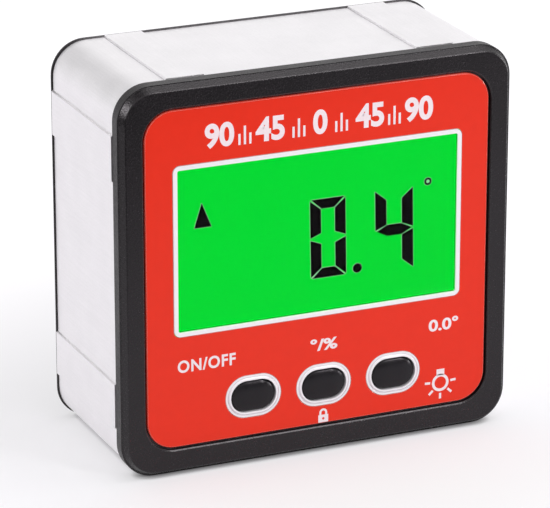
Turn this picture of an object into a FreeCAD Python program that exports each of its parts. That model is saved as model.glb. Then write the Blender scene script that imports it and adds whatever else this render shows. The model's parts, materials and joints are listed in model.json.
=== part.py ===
import FreeCAD, Part
import math
import os

# Small digital inclinometer: a metal ring frame between two moulded covers.
# Millimetres, +Z up, the front with the display faces -Y, and the base lands lie on Z = 0.

# Overall size, over the measuring lands
body_width = 60.0
body_height = 57.5
body_depth = 28.0
cut_overrun = 1.0
fine = 0.001

# Frame: a ring with two raised lands on each of its four sides
land_height = 0.3
land_flank = 0.12
frame_wall = 2.7
frame_corner_radius = 5.0
end_land_margin = 8.2
end_land_width = 5.6
side_land_margin = 7.3
side_land_width = 6.45

# Magnets let into the base of the frame
magnet_diameter = 8.0
magnet_height = 2.0
magnet_spacing = 10.5
magnet_count = 3
magnet_clearance = 0.05
magnet_setback = 0.1

# Covers: both have the outline of the lands less a small inset
cover_inset = 0.1
cover_corner_radius = 5.0
cover_bevel_inset = 0.8
cover_ledge = 0.18
bezel_bevel_depth = 1.12
bezel_band_depth = 2.0
rear_bevel_depth = 1.3
rear_band_depth = 0.45
cover_edge_radius = 0.2
seam_width = 0.25
seam_depth = 0.3
spigot_clearance = 0.15
spigot_wall = 1.2
bezel_spigot_length = 3.0
rear_spigot_length = 2.8
bezel_plate = 2.0
rear_plate = 2.0

# Front panel, sunk in the bezel
panel_side_margin = 3.65
panel_top_margin = 3.65
panel_bottom_margin = 4.05
panel_thickness = 0.5
panel_corner_radius = 4.2
panel_edge_bevel = 0.12
panel_gap = 0.3
panel_setback = 0.3
pocket_edge_bevel = 0.15

# Display window, its rim and its flange behind the panel
window_side_margin = 4.175
window_top_margin = 8.125
window_key_margin = 10.475
rim_corner_radius = 1.0
rim_face = 0.65
rim_proud = 0.05
window_inner_radius = 0.25
window_fit = 0.05
window_setback = 0.02
window_flange_overlap = 0.8
window_flange_thickness = 0.5
window_flange_clearance = 0.1

# Display sandwich
glass_side_overlap = 0.725
glass_end_overlap = 0.775
glass_thickness = 0.7
contact_ledge = 2.2
polariser_margin = 0.5
polariser_thickness = 0.2
display_gap = 0.1
glass_clearance = 0.2
light_guide_thickness = 2.0
light_guide_gap = 0.05
light_guide_margin = 0.6
led_width = 2.0
led_height = 3.0
led_spacing = 12.0
led_gap = 0.2
led_leg_width = 0.5
led_leg_spacing = 1.6
holder_wall = 1.2
holder_floor = 0.8
holder_gap = 0.05
holder_foot = 3.0
connector_thickness = 1.6
connector_margin = 1.3
connector_clearance = 0.15

# Keys, their collars and their switches
key_width = 6.65
key_height = 4.5
key_spacing = 10.9
key_row_offset = 0.8
key_row_rise = 5.95
key_proud = 0.28
key_dome_height = 0.32
key_edge_radius = 0.35
key_clearance = 0.15
key_flange_overlap = 0.6
key_flange_thickness = 0.8
key_flange_gap = 0.1
key_stem_diameter = 3.0
key_travel = 0.4
collar_face = 0.75
collar_sleeve_wall = 0.45
collar_sleeve_depth = 1.2
collar_fit = 0.05
collar_bead_width = 0.36
collar_bead_height = 0.14
collar_groove_width = 0.1
collar_groove_depth = 0.12
switch_size = 6.0
switch_height = 2.5
switch_leg_width = 0.8
switch_leg_length = 1.0
switch_leg_thickness = 0.3
plunger_diameter = 3.4
plunger_proud = 0.9
plunger_depth = 1.1
plunger_clearance = 0.1
plunger_gap = 0.05

# Circuit board
board_front_depth = 7.5
board_thickness = 1.6
board_side_gap = 1.3
board_end_gap = 1.35
board_corner_radius = 1.0
board_clearance = 0.4
post_diameter = 4.2
upper_post_inset = 9.2
lower_post_reach = 7.4
lower_post_rise = 1.4
board_screw_diameter = 1.7
board_screw_length = 5.0
board_screw_head_diameter = 3.2
board_screw_head_height = 1.2
screw_fit = 0.05
board_hole_clearance = 0.15
screw_slot_width = 0.5
chip_size = 9.0
chip_height = 1.4
chip_standoff = 0.1
chip_lead_length = 1.0
chip_lead_width = 0.3
chip_lead_pitch = 0.9
chip_leads_per_side = 8
sensor_width = 5.0
sensor_depth = 3.0
sensor_height = 1.0
crystal_length = 6.0
crystal_diameter = 2.0
small_part_length = 2.0
small_part_width = 1.25
small_part_height = 0.8
small_part_pitch = 3.2
small_part_columns = 5

# Case screws and the bosses that they draw together
boss_diameter = 5.2
boss_side_inset = 3.8
boss_end_inset = 3.6
boss_split = 2.0
boss_gap = 0.2
case_screw_diameter = 2.2
case_screw_length = 14.0
case_screw_head_diameter = 3.8
case_screw_head_height = 1.5
case_screw_clearance = 0.1
head_recess_depth = 5.0
pilot_extra = 1.0
driver_slot_width = 0.7
driver_slot_length = 2.4
driver_slot_depth = 0.8

# Two AAA cells side by side in a tray moulded in the rear cover
cell_diameter = 10.5
cell_nub_diameter = 3.8
cell_nub_length = 1.0
cell_edge_radius = 0.5
cell_gap = 0.2
tray_clearance = 0.25
tray_wall = 1.0
tray_end_gap = 1.15
tray_floor = 1.0
tray_floor_clearance = 0.3
contact_space = 2.6
contact_thickness = 0.3
contact_width = 7.0
contact_height = 8.0
contact_bow_width = 4.0
contact_gap = 0.05
contact_leg_width = 2.4
contact_slot_clearance = 0.15

# Battery door: it slides off towards +X
door_width = 24.4
door_thickness = 1.1
door_gap = 0.1
door_side_clearance = 0.15
door_end_margin = 0.7
door_tongue_thickness = 0.55
door_tongue_width = 0.8
door_grip_length = 9.0
door_grip_width = 14.0
door_grip_depth = 0.45
door_grip_ribs = 5
door_grip_rib_width = 0.7
door_arrow_length = 3.2
door_arrow_width = 4.6
door_arrow_depth = 0.25
door_arrow_gap = 2.2
door_cell_gap = 0.35

# Depths, from the front face backwards
front_y = -body_depth / 2
rear_y = body_depth / 2
bezel_bevel_y = front_y + bezel_bevel_depth
frame_front_y = bezel_bevel_y + bezel_band_depth
panel_front_y = front_y + panel_setback
panel_rear_y = panel_front_y + panel_thickness
plate_rear_y = panel_rear_y + bezel_plate
flange_rear_y = panel_rear_y + window_flange_thickness
board_front_y = front_y + board_front_depth
board_rear_y = board_front_y + board_thickness
rear_bevel_y = rear_y - rear_bevel_depth
frame_rear_y = rear_bevel_y - rear_band_depth
rear_plate_y = rear_y - rear_plate
door_inner_y = rear_y - door_thickness
channel_y = door_inner_y - door_gap
cell_y = door_inner_y - door_cell_gap - cell_diameter / 2
tray_floor_y = cell_y - cell_diameter / 2 - tray_floor_clearance
tray_bottom_y = tray_floor_y - tray_floor

# Depths of the display sandwich
front_polariser_y = flange_rear_y + display_gap
front_glass_y = front_polariser_y + polariser_thickness
rear_glass_y = front_glass_y + glass_thickness
rear_polariser_y = rear_glass_y + glass_thickness
light_guide_y = rear_polariser_y + polariser_thickness + light_guide_gap
holder_floor_y = light_guide_y + light_guide_thickness + light_guide_gap
holder_rear_y = holder_floor_y + holder_floor

# Depths of a key and its switch
key_top_y = panel_front_y - key_proud
key_flange_y = plate_rear_y + key_flange_gap
key_flange_rear_y = key_flange_y + key_flange_thickness
switch_front_y = board_front_y - switch_height
plunger_top_y = switch_front_y - plunger_proud
plunger_bottom_y = switch_front_y + plunger_depth

# Depths of the screws
case_screw_seat_y = rear_y - head_recess_depth
case_screw_tip_y = case_screw_seat_y - case_screw_length
board_screw_tip_y = board_rear_y - board_screw_length

# Outlines that several pieces share
centre_height = body_height / 2
centre = (0, centre_height)
frame_face_width = body_width - 2 * land_height
frame_face_height = body_height - 2 * land_height
cavity_width = frame_face_width - 2 * frame_wall
cavity_height = frame_face_height - 2 * frame_wall
cavity_radius = frame_corner_radius - frame_wall
cover_width = body_width - 2 * cover_inset
cover_height = body_height - 2 * cover_inset
spigot_width = cavity_width - 2 * spigot_clearance
spigot_height = cavity_height - 2 * spigot_clearance
spigot_radius = cavity_radius - spigot_clearance
end_land_inner = body_width / 2 - end_land_margin - end_land_width

# Front panel, key row, window and display, each from the edge of the one that holds it
panel_width = cover_width - 2 * panel_side_margin
panel_top = body_height - cover_inset - panel_top_margin
panel_bottom = cover_inset + panel_bottom_margin
panel_height = panel_top - panel_bottom
panel_middle = (0, (panel_top + panel_bottom) / 2)
key_row_height = panel_bottom + key_row_rise
rim_width = panel_width - 2 * window_side_margin
rim_top = panel_top - window_top_margin
rim_bottom = key_row_height + window_key_margin
rim_height = rim_top - rim_bottom
window_middle_height = (rim_top + rim_bottom) / 2
window_middle = (0, window_middle_height)
glass_width = rim_width + 2 * glass_side_overlap
glass_height = rim_height + 2 * glass_end_overlap
display_hole_width = glass_width + 2 * glass_clearance
display_hole_height = glass_height + contact_ledge + 2 * glass_clearance
display_hole_middle = (0, window_middle_height - contact_ledge / 2)
flange_width = display_hole_width + 2 * window_flange_overlap
flange_height = display_hole_height + 2 * window_flange_overlap
collar_width = key_width + 2 * (key_clearance + collar_face)
collar_height = key_height + 2 * (key_clearance + collar_face)
sleeve_width = key_width + 2 * (key_clearance + collar_sleeve_wall)
sleeve_height = key_height + 2 * (key_clearance + collar_sleeve_wall)

# Board, bosses and posts inside the frame
board_width = cavity_width - 2 * board_side_gap
board_height = cavity_height - 2 * board_end_gap
boss_x = cavity_width / 2 - boss_side_inset
boss_reach = cavity_height / 2 - boss_end_inset
case_screw_middles = [(side * boss_x, centre_height + end * boss_reach)
                      for side in (-1, 1) for end in (-1, 1)]
upper_posts = [(side * (boss_x - upper_post_inset), centre_height + boss_reach) for side in (-1, 1)]
lower_posts = [(key_row_offset + side * (key_spacing + lower_post_reach), key_row_height + lower_post_rise)
               for side in (-1, 1)]
post_middles = upper_posts + lower_posts

# Battery tray, as long as the frame lets it be, and the cells with room for a contact at each end
tray_width = cavity_width - 2 * (tray_wall + tray_end_gap)
cell_length = tray_width - 2 * contact_space
cell_pitch = cell_diameter + cell_gap
cell_heights = [centre_height + side * cell_pitch / 2 for side in (-1, 1)]
tray_height = cell_pitch + cell_diameter + 2 * tray_clearance
contact_x = tray_width / 2
key_names = ["power", "hold", "zero"]
key_places = {name: (key_row_offset + (order - 1) * key_spacing, key_row_height)
              for order, name in enumerate(key_names)}


def vec(x, y, z):
    return FreeCAD.Vector(x, y, z)


def box(x0, x1, y0, y1, z0, z1):
    return Part.makeBox(x1 - x0, y1 - y0, z1 - z0, vec(x0, y0, z0))


def rod(diameter, middle, y0, y1):
    """Cylinder along Y, round a middle given as x and z."""
    return Part.makeCylinder(diameter / 2, y1 - y0, vec(middle[0], y0, middle[1]), vec(0, 1, 0))


def outline(width, height, radius, middle, y):
    """Rounded rectangle across Y. A radius of half the height makes an obround."""
    half_width = width / 2 - radius
    half_height = height / 2 - radius
    edges = []
    last = None
    first = None
    for quarter in range(4):
        angles = [math.radians(90 * quarter + 45 * step) for step in range(3)]
        side = 1 if quarter in (0, 3) else -1
        end = 1 if quarter in (0, 1) else -1
        x = middle[0] + side * half_width
        z = middle[1] + end * half_height
        points = [vec(x + radius * math.cos(a), y, z + radius * math.sin(a)) for a in angles]
        if last is not None and not last.isEqual(points[0], radius / 1000):
            edges.append(Part.makeLine(last, points[0]))
        edges.append(Part.Arc(points[0], points[1], points[2]).toShape())
        first = first or points[0]
        last = points[2]
    if not last.isEqual(first, radius / 1000):
        edges.append(Part.makeLine(last, first))
    return Part.Wire(edges)


def slab(width, height, radius, middle, y0, y1):
    """Rounded rectangle pushed from y0 to y1."""
    return Part.Face(outline(width, height, radius, middle, y0)).extrude(vec(0, y1 - y0, 0))


def taper(width, height, radius, middle, y0, y1, inset):
    """Slab from y0, where it has the full outline, to y1, where the outline is inset all round."""
    full = outline(width, height, radius, middle, y0)
    small = outline(width - 2 * inset, height - 2 * inset, radius - inset, middle, y1)
    return Part.makeLoft([full, small], True, True)


def obround(width, height, middle, y0, y1):
    return slab(width, height, height / 2, middle, y0, y1)


def edges_across(shape, y):
    """Edges of a shape that lie in the plane across Y at this depth."""
    return [edge for edge in shape.Edges
            if abs(edge.BoundBox.YMin - y) < fine and abs(edge.BoundBox.YMax - y) < fine]


def joined(shapes):
    whole = shapes[0]
    for shape in shapes[1:]:
        whole = whole.fuse(shape)
    return whole.removeSplitter()


def less(shape, tools):
    for tool in tools:
        shape = shape.cut(tool)
    return shape


def land(low, high, face, along_x, outward):
    """One raised land: a bar with sloped flanks on the outer face of the frame, rooted in its wall."""
    root = face - outward * frame_wall / 2
    top = face + outward * land_height
    section = [(low - land_flank, root), (low - land_flank, face), (low, top),
               (high, top), (high + land_flank, face), (high + land_flank, root)]
    if along_x:
        points = [vec(a, frame_front_y, b) for a, b in section]
    else:
        points = [vec(b, frame_front_y, a) for a, b in section]
    face_shape = Part.Face(Part.makePolygon(points + points[:1]))
    return face_shape.extrude(vec(0, frame_rear_y - frame_front_y, 0))


def magnet_places():
    first = -(magnet_count - 1) / 2
    middle_y = (frame_front_y + frame_rear_y) / 2
    return [(magnet_spacing * (first + order), middle_y) for order in range(magnet_count)]


def make_frame():
    ring = slab(frame_face_width, frame_face_height, frame_corner_radius, centre,
                frame_front_y, frame_rear_y)
    lands = []
    for side in (-1, 1):
        end_span = sorted([side * end_land_inner, side * (end_land_inner + end_land_width)])
        side_middle = centre_height + side * (centre_height - side_land_margin - side_land_width / 2)
        side_span = (side_middle - side_land_width / 2, side_middle + side_land_width / 2)
        lands.append(land(end_span[0], end_span[1], body_height - land_height, True, 1))
        lands.append(land(end_span[0], end_span[1], land_height, True, -1))
        lands.append(land(side_span[0], side_span[1], frame_face_width / 2, False, 1))
        lands.append(land(side_span[0], side_span[1], -frame_face_width / 2, False, -1))
    ring = joined([ring] + lands)
    y0 = frame_front_y - cut_overrun
    y1 = frame_rear_y + cut_overrun
    cavity = slab(cavity_width, cavity_height, cavity_radius, centre, y0, y1)
    pockets = []
    for x, y in magnet_places():
        depth = magnet_height + magnet_setback
        radius = magnet_diameter / 2 + magnet_clearance
        pockets.append(Part.makeCylinder(radius, depth + land_height, vec(x, y, 0), vec(0, 0, 1)))
    return less(ring, [cavity] + pockets)


def make_base_magnets():
    base = land_height + magnet_setback
    return [Part.makeCylinder(magnet_diameter / 2, magnet_height, vec(x, y, base), vec(0, 0, 1))
            for x, y in magnet_places()]


def cover_shell(bevel_y, band_y, face_y):
    """Outer block of a cover: face, bevel, ledge, side band and the small seam where it meets the frame."""
    way = 1 if band_y > face_y else -1
    seam_y = band_y - way * seam_width
    bevel = taper(cover_width - 2 * cover_ledge, cover_height - 2 * cover_ledge,
                  cover_corner_radius - cover_ledge, centre, bevel_y, face_y, cover_bevel_inset - cover_ledge)
    band = slab(cover_width, cover_height, cover_corner_radius, centre, bevel_y, seam_y)
    seam = taper(cover_width, cover_height, cover_corner_radius, centre, seam_y, band_y, seam_depth)
    shell = joined([bevel, band, seam])
    return shell.makeFillet(cover_edge_radius, edges_across(shell, face_y))


def spigot_ring(y0, y1):
    """Wall that locates a cover inside the frame."""
    outer = slab(spigot_width, spigot_height, spigot_radius, centre, y0, y1)
    return outer.cut(spigot_core(y0 - cut_overrun, y1 + cut_overrun))


def spigot_core(y0, y1):
    width = spigot_width - 2 * spigot_wall
    height = spigot_height - 2 * spigot_wall
    return slab(width, height, spigot_radius / 2, centre, y0, y1)


def make_front_bezel():
    shell = cover_shell(bezel_bevel_y, frame_front_y, front_y)
    shell = shell.cut(spigot_core(plate_rear_y, frame_front_y + cut_overrun))
    solids = [shell, spigot_ring(plate_rear_y, frame_front_y + bezel_spigot_length)]
    solids += [rod(boss_diameter, middle, plate_rear_y, boss_split) for middle in case_screw_middles]
    solids += [rod(post_diameter, middle, plate_rear_y, board_front_y) for middle in post_middles]
    bezel = joined(solids)
    front = front_y - cut_overrun
    rear = plate_rear_y + cut_overrun
    pocket_width = panel_width + 2 * panel_gap
    pocket_height = panel_height + 2 * panel_gap
    pocket_radius = panel_corner_radius + panel_gap
    cuts = [slab(pocket_width, pocket_height, pocket_radius, panel_middle, front, panel_rear_y)]
    spread = 2 * pocket_edge_bevel
    cuts.append(taper(pocket_width + 2 * spread, pocket_height + 2 * spread, pocket_radius + spread,
                      panel_middle, front_y - pocket_edge_bevel, front_y + pocket_edge_bevel, spread))
    cuts.append(slab(flange_width + 2 * window_flange_clearance,
                     flange_height + 2 * window_flange_clearance,
                     rim_corner_radius, display_hole_middle, front, flange_rear_y))
    cuts.append(slab(display_hole_width, display_hole_height, window_inner_radius, display_hole_middle,
                     front, rear))
    for middle in key_places.values():
        cuts.append(obround(sleeve_width + 2 * collar_fit, sleeve_height + 2 * collar_fit, middle,
                            front, rear))
    for middle in case_screw_middles:
        cuts.append(rod(case_screw_diameter + 2 * screw_fit, middle, case_screw_tip_y - pilot_extra,
                        boss_split + cut_overrun))
    for middle in post_middles:
        cuts.append(rod(board_screw_diameter + 2 * screw_fit, middle, board_screw_tip_y - screw_fit,
                        board_front_y + cut_overrun))
    return less(bezel, cuts)


def make_front_panel():
    bevel_y = panel_front_y + panel_edge_bevel
    sheet = slab(panel_width, panel_height, panel_corner_radius, panel_middle, bevel_y, panel_rear_y)
    edge = taper(panel_width, panel_height, panel_corner_radius, panel_middle, bevel_y, panel_front_y,
                 panel_edge_bevel)
    panel = joined([sheet, edge])
    y0 = panel_front_y - cut_overrun
    y1 = panel_rear_y + cut_overrun
    cuts = [slab(rim_width + 2 * window_fit, rim_height + 2 * window_fit, rim_corner_radius, window_middle,
                 y0, y1)]
    for middle in key_places.values():
        cuts.append(obround(collar_width + 2 * collar_fit, collar_height + 2 * collar_fit, middle, y0, y1))
    return less(panel, cuts)


def make_display_rim():
    y0 = panel_front_y - rim_proud
    outer = slab(rim_width, rim_height, rim_corner_radius, window_middle, y0, panel_rear_y)
    inner = slab(rim_width - 2 * rim_face, rim_height - 2 * rim_face, window_inner_radius, window_middle,
                 y0 - cut_overrun, panel_rear_y + cut_overrun)
    return outer.cut(inner)


def make_display_window():
    inset = 2 * (rim_face + window_fit)
    lens = slab(rim_width - inset, rim_height - inset, window_inner_radius, window_middle,
                panel_front_y + window_setback, panel_rear_y)
    flange = slab(flange_width, flange_height, rim_corner_radius, display_hole_middle,
                  panel_rear_y, flange_rear_y)
    return joined([lens, flange])


def glass_sheet(y, ledge):
    """One glass of the display. Its lower edge reaches down by the ledge that carries the contacts."""
    low = window_middle_height - glass_height / 2 - ledge
    high = window_middle_height + glass_height / 2
    return box(-glass_width / 2, glass_width / 2, y, y + glass_thickness, low, high)


def polariser_sheet(y):
    width = glass_width - 2 * polariser_margin
    height = glass_height - 2 * polariser_margin
    half = height / 2
    return box(-width / 2, width / 2, y, y + polariser_thickness, window_middle_height - half,
               window_middle_height + half)


def led_places():
    x = glass_width / 2 - led_width / 2
    return [(x, window_middle_height + side * led_spacing / 2) for side in (-1, 1)]


def make_light_guide():
    width = glass_width - 2 * light_guide_margin
    height = glass_height - 2 * light_guide_margin
    left = -width / 2
    right = glass_width / 2 - led_width - led_gap
    half = height / 2
    return box(left, right, light_guide_y, light_guide_y + light_guide_thickness,
               window_middle_height - half, window_middle_height + half)


def make_backlight_leds():
    leds = []
    for x, z in led_places():
        y1 = light_guide_y + light_guide_thickness
        body = box(x - led_width / 2, x + led_width / 2, light_guide_y, y1,
                   z - led_height / 2, z + led_height / 2)
        legs = []
        for side in (-1, 1):
            leg_z = z + side * led_leg_spacing / 2
            half = led_leg_width / 2
            legs.append(box(x - half, x + half, y1, board_front_y, leg_z - half, leg_z + half))
        leds.append(joined([body] + legs))
    return leds


def connector_span():
    """Lowest and highest edge of the elastomer strip, which lies behind the ledge of the front glass."""
    high = window_middle_height - glass_height / 2 - connector_clearance * 2
    return high - connector_thickness, high


def make_lcd_connector():
    low, high = connector_span()
    half = glass_width / 2 - connector_margin
    return box(-half, half, rear_glass_y, board_front_y, low, high)


def make_lcd_holder():
    inner_width = display_hole_width
    low = display_hole_middle[1] - display_hole_height / 2
    high = display_hole_middle[1] + display_hole_height / 2
    front = plate_rear_y + holder_gap
    outer = slab(inner_width + 2 * holder_wall, display_hole_height + 2 * holder_wall, rim_corner_radius,
                 display_hole_middle, front, holder_rear_y)
    hollow = box(-inner_width / 2, inner_width / 2, front - cut_overrun, holder_floor_y, low, high)
    strip_low, strip_high = connector_span()
    half = glass_width / 2 - connector_margin + connector_clearance
    slot = box(-half, half, holder_floor_y - cut_overrun, holder_rear_y + cut_overrun,
               strip_low - connector_clearance, strip_high + connector_clearance)
    cuts = [hollow, slot]
    for x, z in led_places():
        reach = (led_leg_spacing + led_leg_width) / 2 + connector_clearance
        side = led_leg_width / 2 + connector_clearance
        cuts.append(box(x - side, x + side, holder_floor_y - cut_overrun, holder_rear_y + cut_overrun,
                        z - reach, z + reach))
    holder = less(outer, cuts)
    feet = []
    for side in (-1, 1):
        for end in (-1, 1):
            x = side * (inner_width / 2 - holder_foot)
            z = display_hole_middle[1] + end * (display_hole_height / 2 - holder_foot * 2)
            half_foot = holder_foot / 2
            feet.append(box(x - half_foot, x + half_foot, holder_rear_y, board_front_y - holder_gap,
                            z - half_foot, z + half_foot))
    return joined([holder] + feet)


def key_dome(middle):
    """Large round form that touches the top of a key: a rod with two balls."""
    half = key_height / 2
    radius = (half * half + key_dome_height * key_dome_height) / (2 * key_dome_height)
    straight = key_width - key_height
    x = middle[0] - straight / 2
    y = key_top_y + radius
    rod_shape = Part.makeCylinder(radius, straight, vec(x, y, middle[1]), vec(1, 0, 0))
    balls = [Part.makeSphere(radius, vec(x + shift, y, middle[1])) for shift in (0, straight)]
    return joined([rod_shape] + balls)


def make_key(middle):
    """One key: a domed cap, the flange that keeps it in, and the short stem that meets its switch."""
    cap = obround(key_width, key_height, middle, key_top_y, key_flange_y).common(key_dome(middle))
    rim = [edge for edge in cap.Edges if edge.BoundBox.YMax < key_top_y + 2 * key_dome_height
           and edge.BoundBox.YMin > key_top_y + key_dome_height / 2]
    cap = cap.makeFillet(key_edge_radius, rim)
    flange = obround(sleeve_width + 2 * key_flange_overlap, sleeve_height + 2 * key_flange_overlap, middle,
                     key_flange_y, key_flange_rear_y)
    stem = rod(key_stem_diameter, middle, key_flange_rear_y, plunger_top_y - plunger_gap)
    return joined([cap, flange, stem])


def make_collar(middle):
    """White ring round a key: a flat face, a fine groove, and a raised bead beside the key."""
    face_y = panel_front_y
    opening_width = key_width + 2 * key_clearance
    opening_height = key_height + 2 * key_clearance
    ring = obround(collar_width, collar_height, middle, face_y, panel_rear_y)
    sleeve = obround(sleeve_width, sleeve_height, middle, panel_rear_y, panel_rear_y + collar_sleeve_depth)
    bead_width = opening_width + 2 * collar_bead_width
    bead_height = opening_height + 2 * collar_bead_width
    bead = taper(bead_width, bead_height, bead_height / 2, middle, face_y, face_y - collar_bead_height,
                 collar_bead_height)
    groove_width = bead_width + 2 * collar_groove_width
    groove_height = bead_height + 2 * collar_groove_width
    groove_y = face_y + collar_groove_depth
    groove = obround(groove_width, groove_height, middle, face_y - cut_overrun, groove_y)
    groove = groove.cut(obround(bead_width, bead_height, middle, face_y - 2 * cut_overrun,
                                groove_y + cut_overrun))
    ring = joined([ring.cut(groove), sleeve, bead])
    return ring.cut(obround(opening_width, opening_height, middle, face_y - cut_overrun,
                            panel_rear_y + collar_sleeve_depth + cut_overrun))


def make_key_collars():
    return [make_collar(key_places[name]) for name in key_names]


def make_switch_body(middle):
    x, z = middle
    half = switch_size / 2
    body = box(x - half, x + half, switch_front_y, board_front_y, z - half, z + half)
    legs = []
    for side in (-1, 1):
        for end in (-1, 1):
            leg_z = z + end * (half - switch_leg_width)
            x0, x1 = sorted([x + side * half, x + side * (half + switch_leg_length)])
            legs.append(box(x0, x1, board_front_y - switch_leg_thickness, board_front_y,
                            leg_z - switch_leg_width / 2, leg_z + switch_leg_width / 2))
    bore_end = plunger_bottom_y + key_travel + plunger_clearance
    bore = rod(plunger_diameter + 2 * plunger_clearance, middle, switch_front_y - cut_overrun, bore_end)
    return joined([body] + legs).cut(bore)


def make_switch_bodies():
    return [make_switch_body(key_places[name]) for name in key_names]


def make_plunger(middle):
    return rod(plunger_diameter, middle, plunger_top_y, plunger_bottom_y)


def make_main_board():
    board = slab(board_width, board_height, board_corner_radius, centre, board_front_y, board_rear_y)
    y0 = board_front_y - cut_overrun
    y1 = board_rear_y + cut_overrun
    cuts = []
    for x, z in case_screw_middles:
        reach = boss_diameter / 2 + board_clearance
        x0, x1 = sorted([x - math.copysign(reach, x), math.copysign(board_width, x)])
        inner_z = z - math.copysign(reach, z - centre_height)
        z0, z1 = sorted([inner_z, centre_height + math.copysign(board_height, z - centre_height)])
        cuts.append(box(x0, x1, y0, y1, z0, z1))
    hole = board_screw_diameter + 2 * board_hole_clearance
    cuts += [rod(hole, middle, y0, y1) for middle in post_middles]
    return less(board, cuts)


def make_controller_chip():
    z = window_middle_height
    half = chip_size / 2
    y0 = board_rear_y + chip_standoff
    body = box(-half, half, y0, y0 + chip_height, z - half, z + half)
    leads = []
    thickness = chip_lead_width / 2
    for side in (-1, 1):
        for order in range(chip_leads_per_side):
            offset = (order - (chip_leads_per_side - 1) / 2) * chip_lead_pitch
            near, far = sorted([side * half, side * (half + chip_lead_length)])
            low = offset - chip_lead_width / 2
            high = offset + chip_lead_width / 2
            knee_near, knee_far = sorted([side * half, side * (half + thickness)])
            knee_y = y0 + chip_height / 2
            leads.append(box(near, far, board_rear_y, board_rear_y + thickness, z + low, z + high))
            leads.append(box(knee_near, knee_far, board_rear_y, knee_y, z + low, z + high))
            leads.append(box(low, high, board_rear_y, board_rear_y + thickness, z + near, z + far))
            leads.append(box(low, high, board_rear_y, knee_y, z + knee_near, z + knee_far))
    return joined([body] + leads)


def make_tilt_sensor():
    """Acceleration sensor, on the middle line of the body above the controller chip."""
    z = window_middle_height + chip_size
    return box(-sensor_width / 2, sensor_width / 2, board_rear_y, board_rear_y + sensor_height,
               z, z + sensor_depth)


def make_crystal():
    x = chip_size
    z = window_middle_height - chip_size
    y = board_rear_y + crystal_diameter / 2
    return Part.makeCylinder(crystal_diameter / 2, crystal_length, vec(x, y, z), vec(1, 0, 0))


def make_board_components():
    """Two rows of small resistors and capacitors beside the controller chip."""
    parts = []
    for side in (-1, 1):
        for order in range(small_part_columns):
            x = side * (chip_size + small_part_pitch)
            z = window_middle_height + (order - (small_part_columns - 1) / 2) * small_part_pitch
            half_length = small_part_length / 2
            half_width = small_part_width / 2
            parts.append(box(x - half_length, x + half_length,
                             board_rear_y, board_rear_y + small_part_height,
                             z - half_width, z + half_width))
    return parts


def screw(diameter, length, head_diameter, head_height, middle, seat_y):
    """Screw that points forwards, its head seated at seat_y, with a cross recess in the head."""
    head = rod(head_diameter, middle, seat_y, seat_y + head_height)
    rim = [edge for edge in head.Edges if edge.BoundBox.YMin > seat_y + head_height / 2]
    head = head.makeFillet(head_height / 3, rim)
    return joined([rod(diameter, middle, seat_y - length, seat_y), head])


def driver_recess(length, width, depth, middle, top_y):
    x, z = middle
    y0 = top_y - depth
    y1 = top_y + cut_overrun
    across = box(x - length / 2, x + length / 2, y0, y1, z - width / 2, z + width / 2)
    upright = box(x - width / 2, x + width / 2, y0, y1, z - length / 2, z + length / 2)
    return [across, upright]


def make_board_screws():
    screws = []
    for middle in post_middles:
        plain = screw(board_screw_diameter, board_screw_length, board_screw_head_diameter,
                      board_screw_head_height, middle, board_rear_y)
        recess = driver_recess(board_screw_diameter, screw_slot_width, board_screw_head_height / 2, middle,
                               board_rear_y + board_screw_head_height)
        screws.append(less(plain, recess))
    return screws


def make_case_screws():
    screws = []
    for middle in case_screw_middles:
        plain = screw(case_screw_diameter, case_screw_length, case_screw_head_diameter,
                      case_screw_head_height, middle, case_screw_seat_y)
        recess = driver_recess(driver_slot_length, driver_slot_width, driver_slot_depth, middle,
                               case_screw_seat_y + case_screw_head_height)
        screws.append(less(plain, recess))
    return screws


def door_prism(side_room, end_room, y0, y1):
    """Long plate that runs out through the +X side, as wide as the door plus the room at its sides."""
    half = door_width / 2 + side_room
    x0 = -(tray_width / 2 + door_end_margin + end_room)
    return box(x0, body_width, y0, y1, centre_height - half, centre_height + half)


def make_rear_cover():
    shell = cover_shell(rear_bevel_y, frame_rear_y, rear_y)
    shell = joined([shell, spigot_ring(frame_rear_y - rear_spigot_length, frame_rear_y)])
    inner_floor = slab(spigot_width, spigot_height, spigot_radius, centre, rear_plate_y, frame_rear_y)
    solids = [shell, inner_floor]
    tray_x = tray_width / 2 + tray_wall
    tray_z = tray_height / 2 + tray_wall
    solids.append(box(-tray_x, tray_x, tray_bottom_y, channel_y,
                      centre_height - tray_z, centre_height + tray_z))
    boss_y = boss_split + boss_gap
    solids += [rod(boss_diameter, middle, boss_y, channel_y) for middle in case_screw_middles]
    cover = joined(solids)
    cuts = [box(-tray_width / 2, tray_width / 2, tray_floor_y, rear_y + cut_overrun,
                centre_height - tray_height / 2, centre_height + tray_height / 2)]
    cuts.append(door_prism(door_side_clearance, door_side_clearance, channel_y, rear_y + cut_overrun))
    tongue_room = door_tongue_width + door_side_clearance
    cuts.append(door_prism(tongue_room, door_side_clearance, channel_y,
                           door_inner_y + door_tongue_thickness + door_gap))
    for middle in case_screw_middles:
        cuts.append(rod(case_screw_diameter + 2 * case_screw_clearance, middle, boss_split - cut_overrun,
                        rear_y))
        cuts.append(rod(case_screw_head_diameter + 2 * case_screw_clearance, middle, case_screw_seat_y,
                        rear_y + cut_overrun))
    for z in cell_heights:
        half = contact_leg_width / 2 + contact_slot_clearance
        x1 = -contact_x + contact_thickness + 2 * contact_slot_clearance
        cuts.append(box(-contact_x, x1, tray_bottom_y - cut_overrun, tray_floor_y + cut_overrun,
                        z - half, z + half))
    return less(cover, cuts)


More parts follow.
